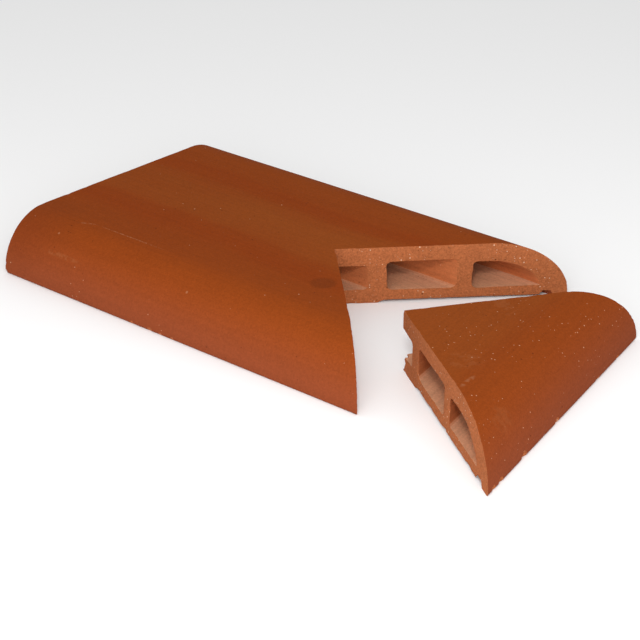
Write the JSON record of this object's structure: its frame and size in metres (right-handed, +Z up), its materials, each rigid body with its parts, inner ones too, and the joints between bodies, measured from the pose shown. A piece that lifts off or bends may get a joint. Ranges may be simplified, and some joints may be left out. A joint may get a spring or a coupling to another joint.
{
  "type": "rounded wall coping",
  "caption": "Flat-topped hollow clay wall coping with rounded long sides and a notched end, with the mitred triangular piece that closes the wall end.",
  "frame": {"origin": "middle of the pair's ground plan, on the floor that the undersides rest on", "axes": "+X along the length, from its square end to its notch; +Z up; the end piece lies beyond the notch"},
  "size_m": [0.6664, 0.3896, 0.063],
  "materials": {
    "clay": "unglazed fired clay, matt, brownish orange",
    "end_clay": "unglazed fired clay, matt, brownish orange with pale specks"
  },
  "bodies": {
    "root": {"coping_length": "clay", "end_piece": "end_clay"}
  },
  "joints": []
}
